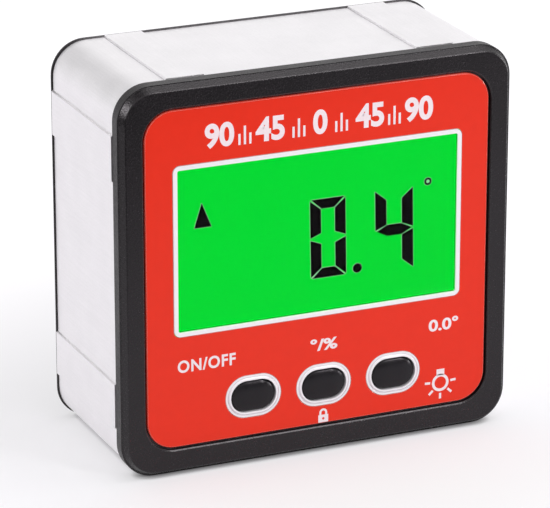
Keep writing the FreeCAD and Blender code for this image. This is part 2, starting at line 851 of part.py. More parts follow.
def door_arrow(tip_x):
    """Sunk arrowhead that shows which way the door slides."""
    y0 = rear_y - door_arrow_depth
    half = door_arrow_width / 2
    points = [vec(tip_x, y0, centre_height), vec(tip_x - door_arrow_length, y0, centre_height + half),
              vec(tip_x - door_arrow_length, y0, centre_height - half)]
    head = Part.Face(Part.makePolygon(points + points[:1]))
    return head.extrude(vec(0, door_arrow_depth + cut_overrun, 0))


def make_battery_door():
    """Sliding door, flush with the rear face: a tongue along each side, a ribbed thumb grip, an arrow."""
    envelope = cover_shell(rear_bevel_y, frame_rear_y, rear_y)
    plate = door_prism(0, 0, door_inner_y, rear_y)
    tongues = door_prism(door_tongue_width, 0, door_inner_y, door_inner_y + door_tongue_thickness)
    door = joined([plate, tongues]).common(envelope)
    right = cover_width / 2 - cover_bevel_inset - door_grip_length / 2
    grip = box(right - door_grip_length, right, rear_y - door_grip_depth, rear_y + cut_overrun,
               centre_height - door_grip_width / 2, centre_height + door_grip_width / 2)
    pitch = door_grip_length / door_grip_ribs
    for order in range(door_grip_ribs):
        x = right - door_grip_length + pitch * (order + 0.5)
        grip = grip.cut(box(x - door_grip_rib_width / 2, x + door_grip_rib_width / 2,
                            rear_y - door_grip_depth, rear_y + cut_overrun,
                            centre_height - door_grip_width / 2, centre_height + door_grip_width / 2))
    return less(door, [grip, door_arrow(right - door_grip_length - door_arrow_gap)])


def make_cell(z, positive_side):
    """AAA cell along X, with its nub at the positive end."""
    base_x = -positive_side * cell_length / 2
    way = vec(positive_side, 0, 0)
    can_length = cell_length - cell_nub_length
    can = Part.makeCylinder(cell_diameter / 2, can_length, vec(base_x, cell_y, z), way)
    rims = [edge for edge in can.Edges if len(edge.Vertexes) == 1]
    can = can.makeFillet(cell_edge_radius, rims)
    nub_x = base_x + positive_side * can_length
    nub = Part.makeCylinder(cell_nub_diameter / 2, cell_nub_length, vec(nub_x, cell_y, z), way)
    return joined([can, nub])


def contact_bow(side, z):
    """Bowed leaf that presses on the end of a cell, from the flat plate of the contact."""
    plate_x = side * (contact_x - contact_thickness)
    crest_x = side * (cell_length / 2 + contact_gap)
    reach = contact_height / 2
    outer = [vec(plate_x, cell_y - reach, 0), vec(crest_x, cell_y, 0), vec(plate_x, cell_y + reach, 0)]
    shift = side * contact_thickness
    inner = [vec(point.x + shift, point.y, 0) for point in outer]
    edges = [Part.Arc(outer[0], outer[1], outer[2]).toShape(), Part.makeLine(outer[2], inner[2]),
             Part.Arc(inner[2], inner[1], inner[0]).toShape(), Part.makeLine(inner[0], outer[0])]
    face = Part.Face(Part.Wire(edges))
    face.translate(vec(0, 0, z - contact_bow_width / 2))
    return face.extrude(vec(0, 0, contact_bow_width))


def contact_plate(side, low, high):
    x0, x1 = sorted([side * contact_x, side * (contact_x - contact_thickness)])
    reach = contact_height / 2
    return box(x0, x1, cell_y - reach, cell_y + reach, low, high)


def make_contact(z):
    """Contact at the -X end, with a tail through the floor of the tray that is soldered to the board."""
    plate = contact_plate(-1, z - contact_width / 2, z + contact_width / 2)
    half = contact_leg_width / 2
    tail = box(-contact_x, -contact_x + contact_thickness, board_rear_y, cell_y, z - half, z + half)
    return joined([plate, contact_bow(-1, z), tail])


def make_battery_link():
    """Plate at the +X end that joins the two cells in series."""
    plate = contact_plate(1, cell_heights[0] - contact_width / 2, cell_heights[1] + contact_width / 2)
    return joined([plate] + [contact_bow(1, z) for z in cell_heights])


pieces = {
    "frame": make_frame(),
    "base_magnets": make_base_magnets(),
    "front_bezel": make_front_bezel(),
    "front_panel": make_front_panel(),
    "display_rim": make_display_rim(),
    "display_window": make_display_window(),
    "lcd_front_polariser": polariser_sheet(front_polariser_y),
    "lcd_front_glass": glass_sheet(front_glass_y, contact_ledge),
    "lcd_rear_glass": glass_sheet(rear_glass_y, 0),
    "lcd_rear_polariser": polariser_sheet(rear_polariser_y),
    "light_guide": make_light_guide(),
    "backlight_leds": make_backlight_leds(),
    "lcd_connector": make_lcd_connector(),
    "lcd_holder": make_lcd_holder(),
    "key_collars": make_key_collars(),
    "switch_bodies": make_switch_bodies(),
    "main_board": make_main_board(),
    "controller_chip": make_controller_chip(),
    "tilt_sensor": make_tilt_sensor(),
    "crystal": make_crystal(),
    "board_components": make_board_components(),
    "board_screws": make_board_screws(),
    "rear_cover": make_rear_cover(),
    "battery_door": make_battery_door(),
    "battery_lower": make_cell(cell_heights[0], -1),
    "battery_upper": make_cell(cell_heights[1], 1),
    "battery_contact_positive": make_contact(cell_heights[0]),
    "battery_contact_negative": make_contact(cell_heights[1]),
    "battery_link": make_battery_link(),
    "case_screws": make_case_screws(),
}
for name in key_names:
    pieces[name + "_key"] = make_key(key_places[name])
    pieces[name + "_switch_plunger"] = make_plunger(key_places[name])

os.makedirs("parts", exist_ok=True)
for name, solids in pieces.items():
    shape = Part.makeCompound(solids) if isinstance(solids, list) else solids
    shape.exportStep("parts/" + name + ".step")
    print(name, len(shape.Solids), round(shape.Volume, 2), shape.isValid())
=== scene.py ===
import json
import math

import bpy
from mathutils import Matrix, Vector


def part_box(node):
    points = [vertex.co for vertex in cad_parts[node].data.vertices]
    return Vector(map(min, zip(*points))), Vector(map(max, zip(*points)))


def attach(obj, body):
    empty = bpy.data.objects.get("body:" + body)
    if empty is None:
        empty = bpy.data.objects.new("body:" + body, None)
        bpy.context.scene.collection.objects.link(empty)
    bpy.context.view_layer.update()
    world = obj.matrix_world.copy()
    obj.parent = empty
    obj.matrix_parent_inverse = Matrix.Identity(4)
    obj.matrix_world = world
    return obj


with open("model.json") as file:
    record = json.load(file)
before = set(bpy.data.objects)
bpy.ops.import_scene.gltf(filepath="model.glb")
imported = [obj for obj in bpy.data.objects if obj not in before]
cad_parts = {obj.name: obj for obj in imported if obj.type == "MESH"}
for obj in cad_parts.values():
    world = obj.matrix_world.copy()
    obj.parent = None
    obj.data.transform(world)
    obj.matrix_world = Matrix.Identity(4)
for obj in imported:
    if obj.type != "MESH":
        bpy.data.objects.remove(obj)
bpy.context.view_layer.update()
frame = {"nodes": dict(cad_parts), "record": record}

# Digital inclinometer: finishes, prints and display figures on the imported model.
# Metres. Places on the front are given as x and z in millimetres.
MM = 0.001
nodes = frame["nodes"]

# Faces that carry the prints and the figures
panel_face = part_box("front_panel")[0].y
film_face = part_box("lcd_front_polariser")[0].y
window_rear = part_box("display_window")[1].y
board_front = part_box("main_board")[0].y

# White prints on the panel: left, right, low and high
print_thickness = 0.015 * MM
word_bold = 0.028
word_spacing = 1.12
sign_bold = 0.03
power_print_box = (-21.6, -12.8, 15.2, 17.05)
slope_print_box = (-1.3, 2.9, 15.3, 17.15)
zero_print_box = (17.3, 22.0, 15.5, 17.4)
lock_middle = (0.75, 5.35)
lock_width = 1.55
lock_body_height = 1.15
lock_arch_height = 0.95
lock_arch_bar = 0.32
lock_arch_steps = 16
keyhole_radius = lock_body_height / 6
keyhole_points = 16
lamp_middle = (19.29, 7.45)
lamp_radius = 1.34
lamp_ring = 0.42
lamp_cap_width = 1.25
lamp_cap_height = 0.95
lamp_cap_rise = lamp_radius * 0.86
lamp_ray_start = 1.62
lamp_ray_length = 0.85
lamp_ray_width = 0.36
lamp_ray_turns = (4, -43, -90, -137, 176)

# Graduated scale above the display
scale_numerals = ("90", "45", "0", "45", "90")
scale_middle = 0.1
scale_pitch = 7.6
scale_base = 47.55
numeral_height = 3.6
numeral_bold = 0.035
digit_width = 2.2
tick_width = 0.34
tick_pitch = 2.4 * tick_width
tick_height = 1.6
long_tick_height = 2.7
ticks_between = 3

# Display figures
figure_thickness = 0.04 * MM
figure_edge_thickness = 0.02 * MM
figure_edge_width = 0.07
edge_room_share = 0.25
upright_share = 0.141
level_share = 0.122
waist_share = 0.141
bar_gap = 0.17
bar_corner = 0.204
figure_lean = 0.018
zero_digit_box = (-0.8, 4.66, 25.92, 37.65)
four_digit_box = (9.28, 15.17, 25.38, 37.72)
dot_middle = (6.38, 26.57)
dot_radius = 0.7
degree_middle = (17.32, 38.05)
degree_radius = 0.56
degree_hole = 0.28
arrow_points = [(-17.42, 39.5), (-18.55, 35.93), (-15.98, 35.93)]

# Solder on the circuit board
solder_width = 1.1 * MM
solder_height = 0.35 * MM
solder_squeeze = 0.9
solder_segments = 16
solder_rings = 10
switch_leg_inset = 0.8 * MM
smooth_angle = math.radians(40)

# Cells: width of the bare end, and for each the name of its finish and the start and end of its copper band
cell_end = 1.25 * MM
cells = {
    "battery_lower": ("cell_jacket_lower", -19.5 * MM, -13.0 * MM),
    "battery_upper": ("cell_jacket_upper", 13.0 * MM, 19.5 * MM),
}

# Samples of the bevel and openness effects, and the strength of every bump
bevel_samples = 4
openness_samples = 8
bump_strength = 0.6

# Noise keeps between these values most of the time
noise_low = 0.32
noise_high = 0.68

# Floor: diffuse color, and a glow that grows with the distance from the object, so that a painted shadow lies
# round it.
# In mirrors the glow is even, but falls off in front of a slanted line.
floor_size = 6.0
floor_color = (0.45, 0.438, 0.46, 1)
floor_glow = 0.46
floor_far_glow = 0.6
floor_far_start = 0.04
floor_far_end = 0.09
floor_mirror_glow = 0.52
floor_front_start = -0.05
floor_front_end = -0.2
floor_front_slant = 0.6
floor_front_fall = 0.88
# Reach of the painted contact shadow under the object
contact_reach = 0.001

# Studio round the object: brightness for diffuse rays, and what is mirrored besides the white walls, as a
# direction, the cosine where its soft edge starts, and a change of brightness
sky_light = 0.9
studio_cards = {
    "grey behind on the left": ((-0.32, 0.87, 0.36), 0.82, -0.33),
    "softbox above": ((0.37, -0.33, 0.87), 0.95, 6.0),
    "gap overhead": ((-0.25, 0.15, 0.96), 0.96, -0.9),
    "window on the left": ((-0.9, 0.1, 0.42), 0.95, 8.0),
    "gap on the right": ((0.96, 0.03, 0.27), 0.85, -0.7),
    "window on the right": ((0.88, -0.44, 0.12), 0.988, 26.0),
}

# Lamps: place, size and watts
lamp_target = (0, 0, 0.03)
lamps = {
    "main_light": ((0.25, -0.075, 0.6), 0.4, 0.92),
    "front_light": ((0.34, -0.57, 0.3), 0.1, 1.35),
}

# Camera, fitted to the edges of the body in the photo
camera_azimuth = math.radians(23.66)
camera_elevation = math.radians(19.52)
camera_target = (-6.9, -14.0, 30.96)
camera_distance = 531.0 * MM
camera_sensor = 36.0
image_width = 550
focal_pixels = 3800.0


# Modelling helpers

merge_distance = 0.001 * MM


def deselect_all():
    bpy.ops.object.select_all(action="DESELECT")


def choose(piece):
    deselect_all()
    piece.select_set(True)
    bpy.context.view_layer.objects.active = piece


def as_mesh(piece):
    """Turns a text or a flat curve into a mesh with its doubles merged.

    Where outlines cross each other, some faces are left turned inwards and some edges open.
    """
    choose(piece)
    bpy.ops.object.convert(target="MESH")
    piece = bpy.context.view_layer.objects.active
    bpy.ops.object.mode_set(mode="EDIT")
    bpy.ops.mesh.select_all(action="SELECT")
    bpy.ops.mesh.remove_doubles(threshold=merge_distance)
    bpy.ops.mesh.normals_make_consistent(inside=False)
    bpy.ops.object.mode_set(mode="OBJECT")
    return piece


def joined(pieces):
    choose(pieces[0])
    for piece in pieces[1:]:
        piece.select_set(True)
    if len(pieces) > 1:
        bpy.ops.object.join()
    return pieces[0]


def finish_piece(piece, name, body, finish):
    """Puts the piece's place into its mesh, and gives it its name, body and finish."""
    choose(piece)
    bpy.ops.object.transform_apply(location=True, rotation=True, scale=True)
    piece.name = name
    piece.data.name = name
    piece.data.materials.clear()
    piece.data.materials.append(finish)
    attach(piece, body)


def grown(points, growth):
    """Outline of a shape without hollows, moved outwards, with its corners cut off."""
    pairs = list(zip(points, points[1:] + points[:1]))
    turn = sum(ax * bz - bx * az for (ax, az), (bx, bz) in pairs)
    side = math.copysign(growth, turn)
    result = []
    for start, end in pairs:
        along = (Vector(end) - Vector(start)).normalized()
        outwards = Vector((along.y, -along.x)) * side
        result += [tuple(Vector(start) + outwards), tuple(Vector(end) + outwards)]
    return result


def sheet(outlines, face, thickness):
    """Sheet cut to closed outlines of x and z, on a face across Y. An outline inside another is a hole."""
    curve = bpy.data.curves.new("sheet", "CURVE")
    curve.dimensions = "2D"
    curve.fill_mode = "BOTH"
    curve.extrude = thickness / 2
    for points in outlines:
        spline = curve.splines.new("POLY")
        spline.points.add(len(points) - 1)
        for point, (x, z) in zip(spline.points, points):
            point.co = (x * MM, z * MM, 0, 1)
        spline.use_cyclic_u = True
    flat = bpy.data.objects.new("sheet", curve)
    bpy.context.scene.collection.objects.link(flat)
    flat.rotation_euler = (math.pi / 2, 0, 0)
    flat.location = (0, face - thickness / 2, 0)
    return as_mesh(flat)


def words(text, box, face, thickness, bold, spacing=1.0):
    """Bold words cut from a sheet and fitted to a box of left, right, low and high.

    They are made 1 thick, and their scale along that way is then the thickness.
    """
    left, right, low, high = box
    deselect_all()
    bpy.ops.object.text_add()
    sign = bpy.context.active_object
    sign.data.body = text
    sign.data.offset = bold
    sign.data.space_character = spacing
    sign.data.extrude = 0.5
    sign = as_mesh(sign)
    along = [vertex.co.x for vertex in sign.data.vertices]
    up = [vertex.co.y for vertex in sign.data.vertices]
    wide = (right - left) * MM / (max(along) - min(along))
    tall = (high - low) * MM / (max(up) - min(up))
    sign.scale = (wide, tall, thickness)
    sign.rotation_euler = (math.pi / 2, 0, 0)
    sign.location = (left * MM - min(along) * wide, face - thickness / 2, low * MM - min(up) * tall)
    return sign


def circle(middle, radius, count=48):
    turns = [math.tau * order / count for order in range(count)]
    return [(middle[0] + radius * math.cos(turn), middle[1] + radius * math.sin(turn)) for turn in turns]


def rectangle(left, right, low, high):
    return [(left, low), (right, low), (right, high), (left, high)]


def spoke(middle, start, length, width, degrees):
    """Slim bar that points away from a middle."""
    along = Vector((math.cos(math.radians(degrees)), math.sin(math.radians(degrees))))
    across = Vector((-along.y, along.x)) * width / 2
    near = Vector(middle) + along * start
    far = near + along * length
    return [tuple(near - across), tuple(far - across), tuple(far + across), tuple(near + across)]


# Shared effects: node groups with named inputs and outputs

def effect(name, inputs, outputs):
    group = bpy.data.node_groups.new(name, "ShaderNodeTree")
    for label, kind, value in inputs:
        socket = group.interface.new_socket(name=label, in_out="INPUT", socket_type=kind)
        socket.default_value = value
    for label, kind in outputs:
        group.interface.new_socket(name=label, in_out="OUTPUT", socket_type=kind)
    return group, group.nodes.new("NodeGroupInput"), group.nodes.new("NodeGroupOutput")


def add(tree, kind, **settings):
    made = tree.nodes.new(kind)
    for key, value in settings.items():
        setattr(made, key, value)
    return made


def noise(tree, vector, scale, detail=3.0):
    """Noise of 0 to 1. The scale is a number, or a socket that gives one."""
    made = add(tree, "ShaderNodeTexNoise")
    made.inputs["Detail"].default_value = detail
    tree.links.new(vector, made.inputs["Vector"])
    if isinstance(scale, (int, float)):
        made.inputs["Scale"].default_value = scale
    else:
        tree.links.new(scale, made.inputs["Scale"])
    return made.outputs["Fac"]


def math_node(tree, operation, *values):
    """Result of a sum or a comparison of numbers or sockets."""
    made = add(tree, "ShaderNodeMath", operation=operation)
    for socket, value in zip(made.inputs, values):
        if isinstance(value, (int, float)):
            socket.default_value = value
        else:
            tree.links.new(value, socket)
    return made.outputs[0]


def spread(tree, value, low, high):
    """Maps a value of 0 to 1 onto low to high."""
    made = add(tree, "ShaderNodeMapRange")
    made.inputs["To Min"].default_value = low
    made.inputs["To Max"].default_value = high
    tree.links.new(value, made.inputs["Value"])
    return made.outputs["Result"]


def stretched(tree, value):
    """Noise, which keeps near its middle, drawn out to -1 to 1."""
    made = add(tree, "ShaderNodeMapRange")
    made.inputs["From Min"].default_value = noise_low
    made.inputs["From Max"].default_value = noise_high
    made.inputs["To Min"].default_value = -1.0
    tree.links.new(value, made.inputs["Value"])
    return made.outputs["Result"]


def tinted(tree, color, share):
    """Color made lighter or darker by a share that varies round 1."""
    made = add(tree, "ShaderNodeVectorMath", operation="SCALE")
    tree.links.new(color, made.inputs[0])
    tree.links.new(share, made.inputs["Scale"])
    return made.outputs["Vector"]


def mixed(tree, factor, first, second):
    """Blend of two colors, each given as a tuple or a socket."""
    made = add(tree, "ShaderNodeMix", data_type="RGBA")
    tree.links.new(factor, made.inputs["Factor"])
    for label, value in (("A", first), ("B", second)):
        socket = [entry for entry in made.inputs if entry.name == label and entry.type == "RGBA"][0]
        if isinstance(value, tuple):
            socket.default_value = value
        else:
            tree.links.new(value, socket)
    return [entry for entry in made.outputs if entry.type == "RGBA"][0]


SURFACE_OUTPUTS = [("Color", "NodeSocketColor"), ("Roughness", "NodeSocketFloat"),
                   ("Height", "NodeSocketFloat")]


def build_moulded_grain():
    """Fine grain of a moulded surface: a slow change of shade and gloss, and a height for the bump."""
    clouds_per_metre = 140.0
    cloud_share = 0.4
    gloss_share = 0.25
    group, start, end = effect(
        "moulded_grain",
        [("Vector", "NodeSocketVector", (0, 0, 0)), ("Color", "NodeSocketColor", (0.5, 0.5, 0.5, 1)),
         ("Roughness", "NodeSocketFloat", 0.5), ("Grains per metre", "NodeSocketFloat", 3000.0),
         ("Variation", "NodeSocketFloat", 0.1)], SURFACE_OUTPUTS)
    grain = noise(group, start.outputs["Vector"], start.outputs["Grains per metre"], detail=2.0)
    cloud = stretched(group, noise(group, start.outputs["Vector"], clouds_per_metre))
    fleck = stretched(group, grain)
    both = math_node(group, "ADD", math_node(group, "MULTIPLY", cloud, cloud_share), fleck)
    swing = math_node(group, "MULTIPLY", both, start.outputs["Variation"])
    share = math_node(group, "ADD", swing, 1.0)
    group.links.new(tinted(group, start.outputs["Color"], share), end.inputs["Color"])
    gloss_swing = math_node(group, "MULTIPLY", swing, gloss_share)
    group.links.new(math_node(group, "ADD", start.outputs["Roughness"], gloss_swing),
                    end.inputs["Roughness"])
    group.links.new(grain, end.inputs["Height"])
    return group


def build_drawn_streaks():
    """Fine streaks that a die leaves along a drawn profile, here along Y, under a slow change of shade."""
    stretch_along = (1.0, 0.03, 1.0)
    clouds_per_metre = 200.0
    grains_per_metre = 3500.0
    group, start, end = effect(
        "drawn_streaks",
        [("Vector", "NodeSocketVector", (0, 0, 0)), ("Color", "NodeSocketColor", (0.8, 0.8, 0.8, 1)),
         ("Roughness", "NodeSocketFloat", 0.4), ("Streaks per metre", "NodeSocketFloat", 4000.0),
         ("Variation", "NodeSocketFloat", 0.05)], SURFACE_OUTPUTS)
    stretch = add(group, "ShaderNodeVectorMath", operation="MULTIPLY")
    group.links.new(start.outputs["Vector"], stretch.inputs[0])
    stretch.inputs[1].default_value = stretch_along
    streak = noise(group, stretch.outputs["Vector"], start.outputs["Streaks per metre"], detail=2.0)
    cloud = stretched(group, noise(group, start.outputs["Vector"], clouds_per_metre))
    line = stretched(group, streak)
    grain = stretched(group, noise(group, start.outputs["Vector"], grains_per_metre, detail=1.0))
    both = math_node(group, "ADD", math_node(group, "ADD", cloud, line), grain)
    swing = math_node(group, "MULTIPLY", both, start.outputs["Variation"])
    share = math_node(group, "ADD", swing, 1.0)
    group.links.new(tinted(group, start.outputs["Color"], share), end.inputs["Color"])
    group.links.new(math_node(group, "ADD", start.outputs["Roughness"], swing), end.inputs["Roughness"])
    group.links.new(streak, end.inputs["Height"])
    return group


def build_painted_edge_highlight():
    """Painted highlight: color that is paler along an edge, where a rounded normal leaves the real one."""
    gain = 6.0
    group, start, end = effect(
        "painted_edge_highlight",
        [("Color", "NodeSocketColor", (0.5, 0.5, 0.5, 1)), ("Highlight color", "NodeSocketColor", (1, 1, 1, 1)),
         ("Width", "NodeSocketFloat", 0.0001), ("Strength", "NodeSocketFloat", 0.5)],
        [("Color", "NodeSocketColor")])
    rounded = add(group, "ShaderNodeBevel", samples=bevel_samples)
    group.links.new(start.outputs["Width"], rounded.inputs["Radius"])
    real = add(group, "ShaderNodeNewGeometry")
    match = add(group, "ShaderNodeVectorMath", operation="DOT_PRODUCT")
    group.links.new(rounded.outputs["Normal"], match.inputs[0])
    group.links.new(real.outputs["Normal"], match.inputs[1])
    turn = math_node(group, "SUBTRACT", 1.0, match.outputs["Value"])
    edge = math_node(group, "MULTIPLY", turn, gain)
    amount = math_node(group, "MULTIPLY", math_node(group, "MINIMUM", edge, 1.0), start.outputs["Strength"])
    group.links.new(mixed(group, amount, start.outputs["Color"], start.outputs["Highlight color"]),
                    end.inputs["Color"])
    return group


def build_shaded_crevice():
    """Painted shade: color that is darker at the foot of a step and in a groove, where less light gets in."""
    group, start, end = effect(
        "shaded_crevice",
        [("Color", "NodeSocketColor", (0.5, 0.5, 0.5, 1)), ("Crevice color", "NodeSocketColor", (0, 0, 0, 1)),
         ("Reach", "NodeSocketFloat", 0.0002), ("Strength", "NodeSocketFloat", 0.5)],
        [("Color", "NodeSocketColor")])
    openness = add(group, "ShaderNodeAmbientOcclusion", samples=openness_samples)
    group.links.new(start.outputs["Reach"], openness.inputs["Distance"])
    closed = math_node(group, "SUBTRACT", 1.0, openness.outputs["AO"])
    amount = math_node(group, "MULTIPLY", closed, start.outputs["Strength"])
    limited = math_node(group, "MINIMUM", amount, 1.0)
    group.links.new(mixed(group, limited, start.outputs["Color"], start.outputs["Crevice color"]),
                    end.inputs["Color"])
    return group


def build_softened_edge():
    """Normal that turns smoothly round an edge, because a moulded edge is never quite sharp."""
    group, start, end = effect(
        "softened_edge", [("Radius", "NodeSocketFloat", 0.0001)], [("Normal", "NodeSocketVector")])
    rounded = add(group, "ShaderNodeBevel", samples=bevel_samples)
    group.links.new(start.outputs["Radius"], rounded.inputs["Radius"])
    group.links.new(rounded.outputs["Normal"], end.inputs["Normal"])
    return group


def sideways(tree, start, full):
    """0 on faces that look forwards or back: it grows from where the normal's Y is at start to 1 at full."""
    facing = add(tree, "ShaderNodeNewGeometry")
    parts = add(tree, "ShaderNodeSeparateXYZ")
    tree.links.new(facing.outputs["True Normal"], parts.inputs[0])
    turned = add(tree, "ShaderNodeMapRange")
    turned.inputs["From Min"].default_value = start
    turned.inputs["From Max"].default_value = full
    tree.links.new(math_node(tree, "ABSOLUTE", parts.outputs["Y"]), turned.inputs["Value"])
    return turned.outputs["Result"]


def build_textured_sides():
    """Sides and bevels of a moulding are rougher than its front, as the mould is textured there.

    The gloss goes down slowly up to the sides, and the texture has its full height from a bevel on.
    """
    gloss_span = (0.6, 0.0)
    height_span = (0.95, 0.55)
    group, start, end = effect(
        "textured_sides",
        [("Roughness", "NodeSocketFloat", 0.3), ("Extra", "NodeSocketFloat", 0.4),
         ("Height", "NodeSocketFloat", 0.5), ("Front share", "NodeSocketFloat", 1.0)],
        [("Roughness", "NodeSocketFloat"), ("Height", "NodeSocketFloat")])
    extra = math_node(group, "MULTIPLY", sideways(group, *gloss_span), start.outputs["Extra"])
    group.links.new(math_node(group, "ADD", start.outputs["Roughness"], extra), end.inputs["Roughness"])
    side = sideways(group, *height_span)
    front = math_node(group, "MULTIPLY", math_node(group, "SUBTRACT", 1.0, side),
                      start.outputs["Front share"])
    share = math_node(group, "ADD", side, front)
    group.links.new(math_node(group, "MULTIPLY", start.outputs["Height"], share), end.inputs["Height"])
    return group


MOULDED_GRAIN = build_moulded_grain()
DRAWN_STREAKS = build_drawn_streaks()
PAINTED_EDGE_HIGHLIGHT = build_painted_edge_highlight()
SHADED_CREVICE = build_shaded_crevice()
SOFTENED_EDGE = build_softened_edge()
TEXTURED_SIDES = build_textured_sides()


# Finishes

def new_finish(name):
    """Empty finish: the material, its tree, its shader and the object's own coordinates."""
    finish = bpy.data.materials.new(name)
    finish.use_nodes = True
    tree = finish.node_tree
    place = add(tree, "ShaderNodeTexCoord")
    return finish, tree, tree.nodes["Principled BSDF"], place.outputs["Object"]


def surface(tree, group, place, rate_name, color, roughness, rate, variation):
    """Texture of a surface from one of the two groups, with its color given as a tuple or a socket."""
    texture = add(tree, "ShaderNodeGroup", node_tree=group)
    tree.links.new(place, texture.inputs["Vector"])
    if isinstance(color, tuple):
        texture.inputs["Color"].default_value = color
    else:
        tree.links.new(color, texture.inputs["Color"])
    texture.inputs["Roughness"].default_value = roughness
    texture.inputs[rate_name].default_value = rate
    texture.inputs["Variation"].default_value = variation
    return texture


def bumped(tree, shader, height, depth, edge_radius=None):
    """Texture felt in the surface, with a depth in metres, over edges that are rounded by a radius."""
    bump = add(tree, "ShaderNodeBump")
    if edge_radius:
        edge = add(tree, "ShaderNodeGroup", node_tree=SOFTENED_EDGE)
        edge.inputs["Radius"].default_value = edge_radius
        tree.links.new(edge.outputs["Normal"], bump.inputs["Normal"])
    bump.inputs["Strength"].default_value = bump_strength
    bump.inputs["Distance"].default_value = depth
    tree.links.new(height, bump.inputs["Height"])
    tree.links.new(bump.outputs["Normal"], shader.inputs["Normal"])


# Paints a highlight along the edges of a color.
def with_painted_highlight(tree, color, highlight_color, width, strength):
    edge = add(tree, "ShaderNodeGroup", node_tree=PAINTED_EDGE_HIGHLIGHT)
    tree.links.new(color, edge.inputs["Color"])
    edge.inputs["Highlight color"].default_value = highlight_color
    edge.inputs["Width"].default_value = width
    edge.inputs["Strength"].default_value = strength
    return edge.outputs["Color"]


def shaded_crevice(tree, color, crevice_color, reach, strength):
    """Painted shade: color darkened in crevices, with a strength given as a number or a socket."""
    crevice = add(tree, "ShaderNodeGroup", node_tree=SHADED_CREVICE)
    tree.links.new(color, crevice.inputs["Color"])
    crevice.inputs["Crevice color"].default_value = crevice_color
    crevice.inputs["Reach"].default_value = reach
    if isinstance(strength, (int, float)):
        crevice.inputs["Strength"].default_value = strength
    else:
        tree.links.new(strength, crevice.inputs["Strength"])
    return crevice.outputs["Color"]


def textured_sides(tree, texture, extra, front_share):
    """Roughness and height of a texture, changed for the sides of a moulding."""
    sides = add(tree, "ShaderNodeGroup", node_tree=TEXTURED_SIDES)
    tree.links.new(texture.outputs["Roughness"], sides.inputs["Roughness"])
    tree.links.new(texture.outputs["Height"], sides.inputs["Height"])
    sides.inputs["Extra"].default_value = extra
    sides.inputs["Front share"].default_value = front_share
    return sides


def moulded(name, color, roughness, grains, depth, variation, specular=0.5, tint=(1, 1, 1),
            highlight_color=None, highlight_width=0.0, highlight_strength=0.0, edge_radius=None,
            crevice_color=None, crevice_reach=0.0, side_roughness=None, front_share=1.0):
    """Moulded plastic, glass or paint: a painted highlight on edges, a painted shade in crevices and the
    sides of the moulding are optional.
    """
    finish, tree, shader, place = new_finish(name)
    texture = surface(tree, MOULDED_GRAIN, place, "Grains per metre", (*color, 1.0), roughness, grains,
                      variation)
    shade = texture.outputs["Color"]
    # Painted highlight along the edges
    if highlight_color:
        shade = with_painted_highlight(tree, shade, (*highlight_color, 1.0), highlight_width, highlight_strength)
    # Painted shade in the crevices
    if crevice_color:
        shade = shaded_crevice(tree, shade, (*crevice_color, 1.0), crevice_reach, strength=1.0)
    tree.links.new(shade, shader.inputs["Base Color"])
    if side_roughness:
        texture = textured_sides(tree, texture, side_roughness, front_share)
    tree.links.new(texture.outputs["Roughness"], shader.inputs["Roughness"])
    bumped(tree, shader, texture.outputs["Height"], depth, edge_radius=edge_radius)
    shader.inputs["Specular IOR Level"].default_value = specular
    shader.inputs["Specular Tint"].default_value = (*tint, 1.0)
    return finish


def drawn_metal(name, color, roughness, variation, streaks=4000.0, depth=0.001 * MM, crevice_color=None,
                crevice_reach=0.0, side_strength=0.0, top_strength=0.0, top_height=0.0):
    """Metal with fine streaks along Y, and optional painted shade at the foot of its steps.

    The painted shade is stronger on the top, which starts at a height, than at the sides.
    """
    finish, tree, shader, place = new_finish(name)
    texture = surface(tree, DRAWN_STREAKS, place, "Streaks per metre", (*color, 1.0), roughness, streaks,
                      variation)
    shade = texture.outputs["Color"]
    # Painted shade at the foot of the steps, stronger on the top
    if crevice_color:
        position = add(tree, "ShaderNodeSeparateXYZ")
        tree.links.new(place, position.inputs[0])
        on_top = math_node(tree, "GREATER_THAN", position.outputs["Z"], top_height)
        painted_shade_strength = spread(tree, on_top, side_strength, top_strength)
        shade = shaded_crevice(tree, shade, (*crevice_color, 1.0), crevice_reach, painted_shade_strength)
    tree.links.new(shade, shader.inputs["Base Color"])
    tree.links.new(texture.outputs["Roughness"], shader.inputs["Roughness"])
    bumped(tree, shader, texture.outputs["Height"], depth)
    shader.inputs["Metallic"].default_value = 1.0
    return finish


def window_finish():
    """Clear lens with a trace of haze."""
    patches_per_metre = 300.0
    most_haze = 0.03
    finish, tree, shader, place = new_finish("clear_window")
    shader.inputs["Transmission Weight"].default_value = 1.0
    shader.inputs["IOR"].default_value = 1.1
    shader.inputs["Base Color"].default_value = (1, 1, 1, 1)
    haze = spread(tree, noise(tree, place, patches_per_metre), 0.0, most_haze)
    tree.links.new(haze, shader.inputs["Roughness"])
    return finish


def lit_finish(name, patches, dim, bright):
    """Film lit from behind, a little uneven, as a backlight is, with a number of patches per metre."""
    finish, tree, shader, place = new_finish(name)
    shader.inputs["Base Color"].default_value = (0, 0, 0, 1)
    shader.inputs["Specular IOR Level"].default_value = 0.0
    shader.inputs["Emission Strength"].default_value = 1.0
    glow = mixed(tree, noise(tree, place, patches), dim, bright)
    tree.links.new(glow, shader.inputs["Emission Color"])
    return finish


